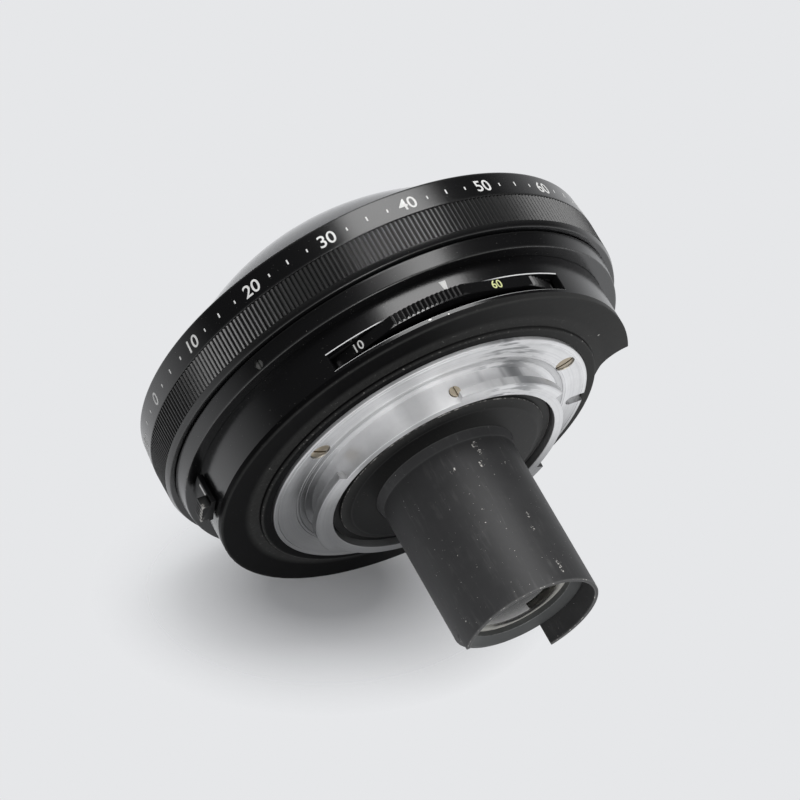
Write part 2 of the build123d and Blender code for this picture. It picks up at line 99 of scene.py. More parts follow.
class Finish:
    # one material: nodes go in through add, finish or surface links the last one
    def __init__(self, name):
        self.material = bpy.data.materials.new(name)
        self.material.use_nodes = True
        self.tree = self.material.node_tree
        self.tree.nodes.clear()

    def add(self, kind, settings=None, sockets=None, output=0):
        return addNode(self.tree, "ShaderNode" + kind, settings, sockets, output)

    def coords(self):
        return self.add("TexCoord", output="Object")

    def axes(self):
        # x, y and z in millimetres, and the distance from the lens axis
        node = self.add("SeparateXYZ", None, {0: self.coords()}).socket.node
        x, y, z = (Sock(self.tree, out) * 1000.0 for out in node.outputs)
        return x, y, z, (x * x + z * z) ** 0.5

    def noise(self, size, detail, rough, vector=None, stretch=(1, 1, 1)):
        # size is the width of a lump in millimetres
        spot = self.add("Mapping", None, {"Vector": vector or self.coords(), "Scale": stretch})
        return self.add("TexNoise", None, {"Vector": spot, "Scale": 1000.0 / size, "Detail": detail,
                                           "Roughness": rough}, "Fac")

    def blend(self, factor, low, high):
        # sockets 6, 7 and output 2 are the colour ones
        low, high = (c if isinstance(c, Sock) else tuple(c) + (1.0,) for c in (low, high))
        return self.add("Mix", {"data_type": "RGBA"}, {0: factor, 6: low, 7: high}, 2)

    def ramp(self, factor, stops, low, high):
        # grey tones at spots between low and high
        grey = self.add("ValToRGB", None, {"Fac": factor})
        ramp = grey.socket.node.color_ramp
        while len(ramp.elements) < len(stops):
            ramp.elements.new(0.5)
        for element, (spot, tone) in zip(ramp.elements, stops):
            element.position = (spot - low) / (high - low)
            element.color = (tone, tone, tone, 1.0)
        return grey

    def near(self, spots):
        # 1 at small places given as (centre, half width, half length), 0 away from them
        x, y, z = self.axes()[:3]
        found = None
        for (cx, cy, cz), wide, long in spots:
            sideways = ((x - cx) ** 2.0 + (z - cz) ** 2.0) * (1.0 / wide ** 2)
            away = (sideways + (y - cy) ** 2.0 * (1.0 / long ** 2)) ** 0.5
            mask = (1.6 - away).clamped()
            found = mask if found is None else found.atLeast(mask)
        return found

    def grooves(self, along, detail, rough=0.5):
        # noise along one line, for rings about the lens axis
        return self.add("TexNoise", {"noise_dimensions": "1D"},
                        {"W": along, "Scale": 1.0, "Detail": detail, "Roughness": rough}, "Fac")

    def worn(self):
        return self.add("Attribute", {"attribute_name": "wear"}, None, "Fac")

    def bump(self, height, strength, distance):
        return self.add("Bump", None, {"Height": height, "Strength": strength, "Distance": distance * mm})

    def finish(self, **sockets):
        return self.surface(self.add("BsdfPrincipled", None, {
            key.replace("_", " "): value for key, value in sockets.items()}))

    def surface(self, shader):
        out = self.tree.nodes.new("ShaderNodeOutputMaterial")
        self.tree.links.new(shader.socket, out.inputs[0])
        return self.material


# materials
enamelLook = {"colour": (0.0045, 0.0045, 0.0048), "metal": (0.42, 0.41, 0.39), "gloss": 0.15,
              "specular": 0.75, "dust": 0.35, "speck": (0.3, 0.29, 0.27),
              "rubbed": (0.075, 0.075, 0.073), "paleOverlay": (0.055, 0.055, 0.054)}


def makeEnamel(name, look=enamelLook, edge=1.0):
    m = Finish(name)
    wear = m.worn()
    patches = m.noise(0.7, 5.0, 0.65)
    fine = m.noise(0.12, 3.0, 0.6)
    broad = m.noise(14.0, 3.0, 0.5)
    bare = (wear * edge * (patches * 1.1 + fine * 0.5)).ramped(0.6, 0.7)
    if look.get("chips"):
        bare = bare.atLeast((m.near(look["chips"]) * (fine * 0.7 + patches * 0.6)).ramped(0.5, 0.6))
    rubbed = (wear * (fine * 0.6 + patches * 0.6)).clamped()
    specks = m.noise(0.24, 2.0, 0.4).ramped(0.745, 0.77) * look["dust"]
    colour = m.blend(rubbed, look["colour"], look["rubbed"])
    if look.get("sheenSide"):
        # painted sheen, lighter towards the picture's right, rising between two places in mm and mottled
        # like dust
        side = (m.axes()[0] * -1.0).ramped(*look["sheenSide"])
        colour = m.blend(side * (patches * 0.3 + broad * 0.3 + 0.7), colour, look["paleOverlay"])
    colour = m.blend(specks, colour, look["speck"])
    colour = m.blend(bare, colour, look["metal"])
    rough = look["gloss"] + broad * 0.08 + fine * 0.05 + rubbed * 0.12
    bumped = m.bump(m.noise(0.22, 3.0, 0.6) + bare * -1.5, 0.1, 0.015)
    return m.finish(Base_Color=colour, Metallic=bare * 0.7, Roughness=rough, Normal=bumped,
                    Specular_IOR_Level=look["specular"])


# painted reflection tones of the turned face: light and dark by angle round the axis, and tones by radius in
# millimetres
turnedLook = {"colour": (0.95, 0.95, 0.955), "rough": 0.22, "groove": 0.16, "line": 0.42, "depth": 1.3,
              "streak": (0.2, 0.8), "reflectedShade": (0.1, 0.102, 0.106), "lined": (0.5, 0.51, 0.53),
              "scratched": (0.9, 0.9, 0.9), "grimy": (0.86, 0.86, 0.85), "dark": (0.22, 0.225, 0.235),
              "reflectionTones": [(-180, 0.9), (-168, 0.6), (-152, 0.2), (-60, 0.25), (-12, 0.22), (6, 0.3),
                          (22, 0.72), (38, 0.9), (60, 1.0), (66, 0.74), (72, 0.74), (80, 1.0),
                          (112, 1.0), (119, 0.9), (124, 0.9), (133, 1.0), (165, 1.0), (180, 0.9)],
              "shadeArcs": [(98, 0.0), (106, 1.0), (122, 1.0), (134, 0.0)],
              "from": 21.0, "to": 29.0,
              "bands": [(21.9, 0.9), (22.6, 1.0), (22.9, 1.0), (23.3, 0.72), (24.1, 0.62), (24.5, 0.9),
                        (24.65, 1.0), (24.9, 1.0), (25.1, 0.95), (27.8, 0.9), (28.0, 1.0), (28.3, 1.0),
                        (28.6, 0.85)]}


def makeTurned(name, look=turnedLook):
    # lathe-cut bright metal: fine rings about the lens axis, glancing in streaks across it; light and dark
    # reflection is painted into its colour by angle round the axis
    m = Finish(name)
    x, y, z, r = m.axes()
    streak = ((z / r) ** 2.0).ramped(*look["streak"])
    around = z.join("ARCTAN2", z, x) * (0.5 / math.pi) + 0.5
    reflectionTone = m.ramp(around, look["reflectionTones"], -180.0, 180.0)
    low, high = look["from"], look["to"]
    band = m.ramp((r - low) * (1.0 / (high - low)), look["bands"], low, high)
    rings = m.grooves(r * (1.0 / look["groove"]), 3.0, 0.7)
    wide = m.grooves(r * 1.6 + 3.0, 2.0)
    lines = m.grooves(r * (1.0 / look["line"]) + 7.0, 2.0, 0.6)
    rubs = m.noise(2.2, 5.0, 0.6)
    scratch = m.noise(0.25, 3.0, 0.7, stretch=(0.3, 1, 1.6)).ramped(0.62, 0.75)
    grime = (m.worn() * rubs).ramped(0.3, 0.6)
    colour = m.blend(lines.ramped(0.5, 0.64) * 0.16, look["colour"], look["lined"])
    colour = m.blend(scratch * 0.25, colour, look["scratched"])
    colour = m.blend(grime * 0.5, colour, look["grimy"])
    # painted reflection: darker where the reflection falls dark, by angle round the axis and by radius
    colour = m.blend((reflectionTone * band * (rubs * 0.24 + 0.88)).clamped(), look["reflectedShade"], colour)
    # painted dark reflection streaks, long along the rings, at some angles round the axis
    curl = m.add("CombineXYZ", None, {"X": r * 1.1, "Y": around * 22.0})  # long along the rings
    shadeArcs = m.noise(1000.0, 3.0, 0.6, vector=curl).ramped(0.48, 0.6)
    colour = m.blend(shadeArcs * m.ramp(around, look["shadeArcs"], -180.0, 180.0) * 0.75, colour, look["dark"])
    rough = look["rough"] + rubs * 0.1 + wide * 0.08 + streak * 0.14
    bumped = m.bump(rings + wide * 0.6, 0.55, 0.03 * look["depth"])
    return m.finish(Base_Color=colour, Metallic=0.84 - streak * 0.52, Roughness=rough, Normal=bumped)


# chips of the tube: place in millimetres, half width, half length
tubeLook = {"colour": (0.045, 0.045, 0.046), "deep": (0.03, 0.03, 0.031), "scuffed": (0.1, 0.1, 0.098),
            "rubbed": (0.14, 0.14, 0.137), "chip": (0.74, 0.72, 0.68), "rough": 0.46, "specular": 0.42,
            "chips": [((-1.9, 7.7, 11.9), 0.9, 1.1), ((-2.1, 9.2, 11.85), 1.0, 0.9),
                      ((-1.3, 11.4, 12.0), 0.8, 1.1), ((3.5, 10.5, 11.5), 0.9, 0.9),
                      ((-4.0, 22.4, 11.35), 0.6, 0.9), ((-3.5, 24.9, 11.5), 0.5, 0.8),
                      ((-4.4, 32.4, 11.2), 0.5, 2.4), ((11.4, 32.2, 3.9), 0.6, 0.7),
                      ((-5.6, 12.0, 10.7), 0.4, 0.5)]}


def makeTube(name, look=tubeLook):
    m = Finish(name)
    wear = m.worn()
    lumps = m.noise(3.4, 5.0, 0.6)
    fine = m.noise(0.35, 4.0, 0.65)
    runs = m.noise(0.8, 4.0, 0.7, stretch=(1, 0.12, 1))  # rub marks along the tube
    cells = m.noise(0.55, 3.0, 0.55)
    shards = m.noise(0.28, 4.0, 0.7)
    chips = (m.near(look["chips"]) * (cells * 0.6 + shards * 0.9)).ramped(0.8, 0.86)
    stray = (m.noise(0.3, 2.0, 0.5) + runs * 0.1).ramped(0.8, 0.82)
    edges = (wear * (cells * 0.8 + fine * 0.5)).ramped(0.62, 0.74)
    bare = chips.atLeast(edges).atLeast(stray)
    scuffs = (runs.ramped(0.52, 0.74) * lumps.ramped(0.4, 0.7)).clamped()
    colour = m.blend(lumps, look["deep"], look["colour"])
    colour = m.blend(scuffs * 0.7, colour, look["scuffed"])
    colour = m.blend(wear * 0.6, colour, look["rubbed"])
    colour = m.blend(bare, colour, look["chip"])
    rough = look["rough"] + lumps * 0.1 - scuffs * 0.1 - bare * 0.1
    bumped = m.bump(fine * 0.5 + bare * -0.8, 0.2, 0.03)
    return m.finish(Base_Color=colour, Metallic=bare * 0.5, Roughness=rough, Normal=bumped,
                    Specular_IOR_Level=look["specular"])


def makePlain(name, colour, rough, metallic=0.0, grain=0.3, bumpy=0.1):
    # small parts and inner parts: a colour with fine grain, worn lighter on its edges
    m = Finish(name)
    grainy = m.noise(grain, 4.0, 0.6)
    cloudy = m.noise(grain * 9, 3.0, 0.5)
    light = tuple(min(1.0, c * 1.7 + 0.04) for c in colour)
    dark = tuple(c * 0.6 for c in colour)
    shade = m.blend(cloudy, dark, colour)
    shade = m.blend((m.worn() * grainy).ramped(0.25, 0.55), shade, light)
    return m.finish(Base_Color=shade, Metallic=metallic, Roughness=rough + grainy * 0.12,
                    Normal=m.bump(grainy, bumpy, 0.02))


glassLook = {"haze": (0.85, 0.86, 0.87), "grit": (0.74, 0.73, 0.68), "pale": (5.2, 8.6), "paleOverlay": (6.4, 8.6)}


def makeGlass(name, colour, coat=(1, 1, 1), dust=0.5, index=1.52, coated=0.6, middle=None):
    m = Finish(name)
    specks = m.noise(0.3, 2.0, 0.4).ramped(0.74, 0.77) * dust
    haze = m.noise(9.0, 4.0, 0.6)
    if middle:
        # dark in the middle, painted shade of the inside; a pale tint and a pale opaque overlay towards the
        # rim
        rim = m.axes()[3] + m.noise(2.4, 5.0, 0.7) * 2.4 - 1.2
        colour = m.blend(rim.ramped(*glassLook["pale"]), middle, colour)
        specks = specks.atLeast(rim.ramped(*glassLook["paleOverlay"]) * 0.72)
    glass = m.add("BsdfPrincipled", None, {
        "Base Color": m.blend(haze * 0.12, colour, glassLook["haze"]), "Roughness": haze * 0.02,
        "Transmission Weight": 1.0, "IOR": index, "Coat Weight": coated, "Coat Tint": coat + (1.0,),
        "Coat Roughness": 0.03})
    grit = m.add("BsdfPrincipled", None, {"Base Color": glassLook["grit"] + (1.0,), "Roughness": 0.6})
    return m.surface(m.add("MixShader", None, {0: specks, 1: glass, 2: grit}))


# two small light spots on the strip behind the window, drawn as bare metal
barrelLightSpots = [((4.95, -3.32, 37.07), 0.35, 0.16), ((1.81, -3.0, 37.36), 0.16, 0.12)]
looks = {
    # lighter enamel for the window's bevel: rubbed paint, and a painted highlight line
    "rim": makeEnamel("rimRubAndHighlight", dict(enamelLook, colour=(0.11, 0.11, 0.108), gloss=0.3)),
    "enamel": makeEnamel("blackEnamel"),
    "barrel": makeEnamel("barrelEnamel", dict(enamelLook, chips=barrelLightSpots)),
    # enamel of the plate and boss, with painted sheen towards the picture's right
    "worn": makeEnamel("blackEnamelWorn", dict(
        enamelLook, colour=(0.004, 0.004, 0.0042), gloss=0.3, specular=0.02, sheenSide=(-8.0, 42.0),
        chips=[((-29.3, -1.7, 15.3), 0.25, 0.25)]), edge=1.1),
    "lever": makeEnamel("leverEnamel", dict(enamelLook, gloss=0.32, specular=0.12), edge=1.15),
    "turned": makeTurned("turnedBright"),
    "tube": makeTube("tubeBlack"),
    "matt": makePlain("mattBlack", (0.018, 0.018, 0.018), 0.62),
    # enamel of the well, with painted sheen towards the picture's right
    "well": makeEnamel("wellBlack", dict(
        enamelLook, colour=(0.007, 0.007, 0.007), gloss=0.42, specular=0.08, sheenSide=(-4.0, 26.0))),
    "brass": makePlain("oldBrass", (0.6, 0.52, 0.4), 0.34, 1.0, 0.4),
    "steel": makePlain("darkSteel", (0.12, 0.12, 0.125), 0.38, 0.8),
    "grub": makePlain("grubSteel", (0.34, 0.34, 0.33), 0.35, 0.7),
    "blades": makePlain("bluedBlades", (0.05, 0.05, 0.056), 0.34, 0.9, 0.5),
    "white": makePlain("whiteFill", (0.95, 0.95, 0.93), 0.5, 0.0, 0.15, 0.2),
    "lime": makePlain("limeFill", (0.8, 0.84, 0.4), 0.5, 0.0, 0.15, 0.2),
    "retainer": makePlain("greyRetainer", (0.085, 0.088, 0.088), 0.34, 0.3),
    "dome": makeGlass("domeGlass", (0.12, 0.123, 0.13), dust=0.6, index=1.4, coated=0.1),
    "inner": makeGlass("innerGlass", (0.86, 0.88, 0.88)),
    "last": makeGlass("rearGlass", (0.9, 0.89, 0.82), (1.0, 0.93, 0.8), 0.3, 1.4, coated=0.05,
                      middle=(0.03, 0.026, 0.018)),
}
filterTints = [(0.9, 0.91, 0.9), (0.9, 0.78, 0.2), (0.92, 0.45, 0.1), (0.7, 0.08, 0.06),
               (0.45, 0.7, 0.25), (0.5, 0.65, 0.85)]
print("materials made:", len(looks))


# mesh helpers
def linked(name, data, material=None):
    obj = bpy.data.objects.new(name, data)
    bpy.context.scene.collection.objects.link(obj)
    if material:
        data.materials.append(material)
    return obj


def makeObject(name, verts, faces, material, wear=None):
    mesh = bpy.data.meshes.new(name)
    mesh.from_pydata([tuple(v) for v in verts], [], faces)
    if wear is not None:
        layer = mesh.attributes.new("wear", "FLOAT", "POINT")
        layer.data.foreach_set("value", wear)
    return linked(name, mesh, material)


def fromWork(name, work, material=None):
    mesh = bpy.data.meshes.new(name)
    work.to_mesh(mesh)
    work.free()
    return linked(name, mesh, material)


weld = 0.0000008  # metres


def smoothed(obj, sharp=30.0):
    obj.data.shade_smooth()
    obj.data.set_sharp_from_angle(angle=math.radians(sharp))
    return obj


def tidyMesh(obj, sharp=30.0):
    # welds doubles, turns faces outwards and marks hard edges
    work = bmesh.new()
    work.from_mesh(obj.data)
    bmesh.ops.remove_doubles(work, verts=work.verts, dist=weld)
    bmesh.ops.recalc_face_normals(work, faces=work.faces)
    work.to_mesh(obj.data)
    work.free()
    return smoothed(obj, sharp)


def onCircle(radius, y, angle):
    # angles go from +X towards +Z, in degrees
    turn = math.radians(angle)
    return radius * math.cos(turn), y, radius * math.sin(turn)


def atMetres(radius, y, angle):
    return tuple(c * mm for c in onCircle(radius, y, angle))


def roundLoop(points, steps=4, support=0.22):
    # section points (radius, y) or (radius, y, rounding, wear) to a loop with round corners
    loop = []
    for i, point in enumerate(points):
        r, y, size, wear = point if len(point) == 4 else point + (0, 0)
        here = Vector((r, y))
        if size <= 0:
            loop.append((r, y, wear))
            continue
        back = Vector(points[i - 1][:2]) - here
        ahead = Vector(points[(i + 1) % len(points)][:2]) - here
        room = min(back.length, ahead.length)
        back.normalize()
        ahead.normalize()
        half = back.angle(ahead) / 2
        reach = min(size / math.tan(half), room * 0.45)
        size = reach * math.tan(half)
        centre = here + (back + ahead).normalized() * (size / math.sin(half))
        if room > reach + support * 2:
            spot = here + back * (reach + support)
            loop.append((spot.x, spot.y, 0.0))
        first, last = here + back * reach - centre, here + ahead * reach - centre
        sweep = first.angle(last)
        for k in range(steps + 1):
            part = k / steps
            arm = (first * math.sin((1 - part) * sweep) + last * math.sin(part * sweep)) / math.sin(sweep)
            spot = centre + arm
            loop.append((spot.x, spot.y, wear * (0.75 if k in (0, steps) else 1.0)))
        if room > reach + support * 2:
            spot = here + ahead * (reach + support)
            loop.append((spot.x, spot.y, 0.0))
    return loop


def lathe(name, points, material, segments=256, start=0.0, sweep=360.0):
    # spins a closed section about the lens axis, capped where it doesn't go all round
    loop = roundLoop(points)
    closed = abs(sweep - 360.0) < 0.001
    count = segments if closed else segments + 1
    verts, wear, faces = [], [], []
    for i in range(count):
        for r, y, worn in loop:
            verts.append(atMetres(r, y, start + sweep * i / segments))
            wear.append(worn)
    n = len(loop)
    for i in range(segments):
        a, b = i * n, ((i + 1) % count) * n
        for k in range(n):
            j = (k + 1) % n
            faces.append((a + k, a + j, b + j, b + k))
    if not closed:
        faces.append(tuple(range(n)))
        faces.append(tuple((count - 1) * n + k for k in reversed(range(n))))
    return tidyMesh(makeObject(name, verts, faces, material, wear))


def sectorBlock(r0, r1, y0, y1, start, stop, segments=32):
    # plain block between two radii, used to cut
    points = [(r0, y0), (r1, y0), (r1, y1), (r0, y1)]
    return lathe("cutter", points, None, segments, start, stop - start)


def rodBlock(radius, low, high, centre, direction, segments=48):
    # plain round bar from low to high along a direction through a point
    direction = Vector(direction).normalized()
    across = direction.orthogonal().normalized()
    other = direction.cross(across)
    verts = []
    for end in (low, high):
        for k in range(segments):
            turn = 2 * math.pi * k / segments
            verts.append((Vector(centre) + direction * end
                          + (across * math.cos(turn) + other * math.sin(turn)) * radius) * mm)
    faces = [tuple(range(segments)), tuple(reversed(range(segments, segments * 2)))]
    faces += [(k, k + segments, (k + 1) % segments + segments, (k + 1) % segments)
              for k in range(segments)]
    return tidyMesh(makeObject("cutter", verts, faces, None))


crisp = 12.0  # hard edges of small boxes, in degrees


def boxBlock(size, centre, angle=0.0, bevel=0.0, name="cutter", material=None):
    # box drawn at +X, then turned about the lens axis by an angle towards +Z
    work = bmesh.new()
    bmesh.ops.create_cube(work, size=1.0)
    for v in work.verts:
        v.co = Vector((v.co.x * size[0], v.co.y * size[1], v.co.z * size[2])) + Vector(centre)
    if bevel:
        bmesh.ops.bevel(work, geom=list(work.edges), offset=bevel, segments=3, affect="EDGES", profile=0.5)
    turn = Matrix.Rotation(-math.radians(angle), 4, "Y")
    for v in work.verts:
        v.co = (turn @ v.co) * mm
    return tidyMesh(fromWork(name, work, material), crisp)


def bake(obj):
    # the evaluated mesh takes the place of the mesh and its modifiers
    depsgraph = bpy.context.evaluated_depsgraph_get()
    depsgraph.update()
    final = bpy.data.meshes.new_from_object(obj.evaluated_get(depsgraph))
    obj.modifiers.clear()
    old = obj.data
    obj.data = final
    final.name = obj.name
    bpy.data.meshes.remove(old)
    return obj


def carve(obj, cutters, operation="DIFFERENCE", sharp=30.0):
    for cutter in cutters:
        step = obj.modifiers.new("carve", "BOOLEAN")
        step.operation = operation
        step.solver = "MANIFOLD"
        step.object = cutter
    bake(obj)
    for cutter in cutters:
        bpy.data.objects.remove(cutter)
    return tidyMesh(obj, sharp)


def joined(name, parts):
    # several meshes as one object, with the first one's material
    work = bmesh.new()
    for part in parts:
        work.from_mesh(part.data)
    obj = fromWork(name, work, parts[0].data.materials[0])
    for part in parts:
        bpy.data.objects.remove(part)
    return smoothed(obj)


def place(obj, body, *standsFor, slot=None):
    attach(obj, body)
    if standsFor:
        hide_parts(*standsFor)
    return obj


# one Geometry Nodes tree sets copies of a template round the lens axis
def makeRingTree():
    tree = bpy.data.node_groups.new("setRound", "GeometryNodeTree")
    for label, kind, value in (("Template", "Geometry", None), ("Count", "Int", 3), ("Step", "Float", 120.0),
                               ("Start", "Float", 0.0), ("Jitter", "Float", 0.0), ("Seed", "Int", 7),
                               ("Material", "Material", None)):
        socket = tree.interface.new_socket(label, in_out="INPUT", socket_type="NodeSocket" + kind)
        if value is not None:
            socket.default_value = value
    tree.interface.new_socket("Ring", in_out="OUTPUT", socket_type="NodeSocketGeometry")
    given = {out.name: Sock(tree, out) for out in tree.nodes.new("NodeGroupInput").outputs}
    points = addNode(tree, "GeometryNodePoints", None, {"Count": given["Count"]})
    index = addNode(tree, "GeometryNodeInputIndex")
    # sockets 2, 3 and output 1 are the ones for a plain number
    spread = addNode(tree, "FunctionNodeRandomValue", {"data_type": "FLOAT"},
                     {2: -1.0, 3: 1.0, "Seed": given["Seed"]}, 1)
    angle = index * given["Step"] + given["Start"] + spread * given["Jitter"]
    spin = addNode(tree, "ShaderNodeCombineXYZ", None, {"Y": angle * (-math.pi / 180)})
    copies = addNode(tree, "GeometryNodeInstanceOnPoints", None, {
        "Points": points, "Instance": given["Template"], "Rotation": spin})
    solid = addNode(tree, "GeometryNodeRealizeInstances", None, {0: copies})
    painted = addNode(tree, "GeometryNodeSetMaterial", None, {
        "Geometry": solid, "Material": given["Material"]})
    tree.links.new(painted.socket, tree.nodes.new("NodeGroupOutput").inputs[0])
    return tree


ringTree = makeRingTree()


def setRound(template, count, step, start, material, jitter=0.0, seed=7):
    ids = {item.name: item.identifier for item in ringTree.interface.items_tree
           if item.item_type == "SOCKET" and item.in_out == "INPUT"}
    layout = template.modifiers.new("setRound", "NODES")
    layout.node_group = ringTree
    for key, value in (("Count", count), ("Step", step), ("Start", start), ("Jitter", jitter),
                       ("Seed", seed), ("Material", material)):
        layout[ids[key]] = value
    return bake(template)


# lettering: plain figures only, drawn as text and wrapped on a cylinder or a flat
figureLook = {"capHeight": 0.72, "bolder": 0.012, "thick": 0.02}


def figure(text, height, spotOf):
    # spotOf gives the place, in metres, of a point of the flat text
    curve = bpy.data.curves.new("figure", "FONT")
    curve.body = text
    curve.size = height / figureLook["capHeight"]
    curve.align_x = "CENTER"
    curve.align_y = "CENTER"
    curve.offset = height * figureLook["bolder"]
    curve.extrude = figureLook["thick"] / 2
    obj = linked("figure", curve)
    depsgraph = bpy.context.evaluated_depsgraph_get()
    mesh = bpy.data.meshes.new_from_object(obj.evaluated_get(depsgraph))
    bpy.data.objects.remove(obj)
    verts = [spotOf(v.co) for v in mesh.vertices]
    faces = [tuple(p.vertices) for p in mesh.polygons]
    bpy.data.meshes.remove(mesh)
    return verts, faces


def wrapFigure(text, height, radiusAt, y, angle):
    # reads towards growing angle, with its head to the front of the lens
    def spotOf(co):
        spotY = y - co.y
        r = radiusAt(spotY) + co.z
        turn = math.radians(angle) + co.x / r
        return r * math.cos(turn) * mm, spotY * mm, r * math.sin(turn) * mm

    return figure(text, height, spotOf)


def gather(name, shapes, material):
    verts, faces = [], []
    for shapeVerts, shapeFaces in shapes:
        base = len(verts)
        verts += shapeVerts
        faces += [tuple(i + base for i in face) for face in shapeFaces]
    return tidyMesh(makeObject(name, verts, faces, material))


def patch(r0, r1, y0, y1, start, stop, narrow=0.0, steps=6):
    # thin painted mark on a cylinder: it may be narrower at its rear
    verts, faces = [], []
    mid = (start + stop) / 2
    for k in range(steps + 1):
        part = k / steps
        front = start + (stop - start) * part
        rear = mid + (front - mid) * (1 - narrow)
        for angle, y in ((front, y0), (rear, y1)):
            verts += [atMetres(r, y, angle) for r in (r0, r1)]
    for k in range(steps):
        a, b = k * 4, k * 4 + 4
        faces += [(a + 1, b + 1, b + 3, a + 3), (a, a + 2, b + 2, b), (a, b, b + 1, a + 1),
                  (a + 2, a + 3, b + 3, b + 2)]
    last = steps * 4
    faces += [(0, 1, 3, 2), (last, last + 2, last + 3, last + 1)]
    return verts, faces


# front bezel and its scale
bezel = {"front": -24.9, "rear": -19.94, "frontRadius": 40.96, "rearRadius": 41.398, "lip": 36.95,
         "lipWidth": 0.9, "lipSink": 0.12, "bore": 38.65, "ledge": -23.6, "figureHeight": 2.3,
         "figureY": -22.0, "step": 20, "from": 10, "to": 360, "lift": 0.012, "tickStep": 5,
         "longTick": 0.62, "shortTick": 0.38, "tickHalf": 0.17, "tickDepth": 0.03, "tickLift": 0.005}


def makeBezel():
    b = bezel
    ring = lathe("frontBezel", [
        (b["lip"], b["front"] + b["lipSink"], 0.06, 0.3), (b["lip"] + b["lipWidth"], b["front"], 0.1, 0.3),
        (b["frontRadius"], b["front"], 0.28, 0.45), (b["rearRadius"], b["rear"], 0.12, 0.25),
        (b["bore"], b["rear"]), (b["bore"], b["ledge"]), (b["lip"], b["ledge"]),
    ], looks["enamel"], 320)
    place(ring, "root", "front_bezel", slot="black_enamel")

    def radiusAt(y):
        part = (y - b["front"]) / (b["rear"] - b["front"])
        return b["frontRadius"] + (b["rearRadius"] - b["frontRadius"]) * part + b["lift"]

    shapes = []
    for angle in range(b["from"], b["to"] + 1, b["step"]):
        shapes.append(wrapFigure(str((angle - b["from"]) // 2), b["figureHeight"], radiusAt,
                                 b["figureY"], angle))
    r = radiusAt(b["figureY"])
    for angle in range(0, 360, b["tickStep"]):
        if (angle - b["from"]) % b["step"] == 0:
            continue
        size = b["shortTick"] if angle % (2 * b["tickStep"]) else b["longTick"]
        shapes.append(patch(r - b["tickDepth"], r + b["tickLift"], b["figureY"] - size,
                            b["figureY"] + size, angle - b["tickHalf"], angle + b["tickHalf"], steps=1))
    place(gather("bezelScale", shapes, looks["white"]), "root")


makeBezel()

# grip ring with straight ribs
grip = {"front": -19.94, "ribEnd": -14.56, "rear": -13.49, "radius": 41.398, "lipRadius": 41.02,
        "bore": 38.65, "ribs": 322, "depth": 0.3, "ribTop": 0.16, "ribFoot": 0.96, "slope": 0.1,
        "bury": 0.05, "uneven": 0.03}


def makeGrip():
    g = grip
    foot = g["radius"] - g["depth"]
    core = lathe("gripCore", [
        (g["bore"], g["front"]), (foot, g["front"]), (foot, g["ribEnd"]),
        (g["radius"], g["ribEnd"], 0.05, 0.25), (g["lipRadius"], g["rear"], 0.14, 0.45),
        (g["bore"], g["rear"])], looks["enamel"], 322)
    place(core, "root", "grip_ring", slot="grip_black")
    pitch = 2 * math.pi * g["radius"] / g["ribs"]
    # one rib at +X: broad foot, narrow worn top, ends sloped
    low, top = pitch * g["ribFoot"] / 2, g["ribTop"] / 2
    deep = foot - g["bury"]
    y0, y1 = g["front"] + 0.05, g["ribEnd"]
    verts, wear = [], []
    for y, r, half, worn in ((y0, deep, low, 0), (y0 + g["slope"], g["radius"], top, 0.4),
                             (y1, g["radius"], top, 0.35), (y1 + 0.02, deep, low, 0)):
        for side in (-1, 1):
            verts.append((r * mm, y * mm, side * half * mm))
            wear.append(worn)
    faces = [(0, 1, 3, 2), (2, 3, 5, 4), (4, 5, 7, 6), (0, 6, 7, 1), (0, 2, 4, 6), (1, 7, 5, 3)]
    rib = tidyMesh(makeObject("gripRibs", verts, faces, None, wear))
    rib.data.shade_flat()
    ribs = setRound(rib, g["ribs"], 360.0 / g["ribs"], 0.0, looks["ribs"], g["uneven"])
    ribs.data.shade_flat()
    place(ribs, "root", slot="grip_black")


looks["ribs"] = makeEnamel("ribEnamel", dict(enamelLook, gloss=0.26, dust=0.1), edge=0.9)
makeGrip()

# stepped ring behind the grip, with three grub screws
stepRing = {"front": -13.28, "rear": -10.4, "frontRadius": 40.1, "rearRadius": 39.7, "bore": 37.45,
            "grubAngle": 41.7, "grubY": -11.5, "grubRadius": 0.78, "grubPlay": 0.04, "grubFrom": 36.4,
            "grubSink": 0.12, "grubSlot": (0.8, 3.0, 0.3), "holeFrom": 37, "holeTo": 42}


def makeStepRing():
    s = stepRing
    ring = lathe("stepRing", [
        (s["bore"], s["front"]), (s["frontRadius"], s["front"], 0.1, 0.3),
        (s["rearRadius"], s["rear"], 0.14, 0.62), (s["bore"], s["rear"])], looks["enamel"], 320)
    carve(ring, [rodBlock(s["grubRadius"], s["holeFrom"], s["holeTo"], (0, s["grubY"], 0),
                          onCircle(1, 0, s["grubAngle"] + 120 * k), 32) for k in range(3)])
    place(ring, "root", "cone_ring", slot="black_enamel")


makeStepRing()


def makeGrubs():
    # one screw at +X, then set round three times
    s = stepRing
    top = s["rearRadius"] - s["grubSink"]
    body = rodBlock(s["grubRadius"] - s["grubPlay"], s["grubFrom"], top, (0, s["grubY"], 0), (1, 0, 0), 32)
    body.name = body.data.name = "grubScrews"
    carve(body, [boxBlock(s["grubSlot"], (top, s["grubY"], 0))])
    setRound(body, 3, 120.0, s["grubAngle"], looks["grub"])
    place(tidyMesh(body), "root", "grub_screw_1", "grub_screw_2", "grub_screw_3", slot="dark_steel")


makeGrubs()
print("front rings made")

